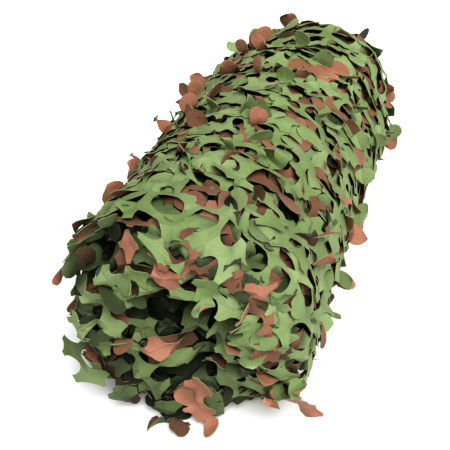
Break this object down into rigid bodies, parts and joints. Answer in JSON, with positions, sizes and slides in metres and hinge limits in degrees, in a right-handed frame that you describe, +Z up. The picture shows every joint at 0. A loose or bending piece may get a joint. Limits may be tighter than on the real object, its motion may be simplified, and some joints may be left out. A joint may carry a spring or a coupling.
{
  "type": "rolled camouflage net",
  "caption": "Die-cut two-colour camouflage net, folded lengthways, loosely rolled and lying on its side with one end of the last turn standing open.",
  "frame": {"origin": "on the floor, at the middle of the flat spot that the roll lies on", "axes": "+Y along the roll away from its open near end, +Z up, +X to the right when seen from the near end"},
  "size_m": [0.42, 0.7831, 0.3917],
  "materials": {
    "loose_outer_turn": "matt coated cloth, green outside and red-brown behind",
    "wound_net": "matt coated cloth, green and red-brown, in shade"
  },
  "bodies": {
    "root": {"loose_outer_turn": "loose_outer_turn", "wound_net": "wound_net"}
  },
  "joints": []
}
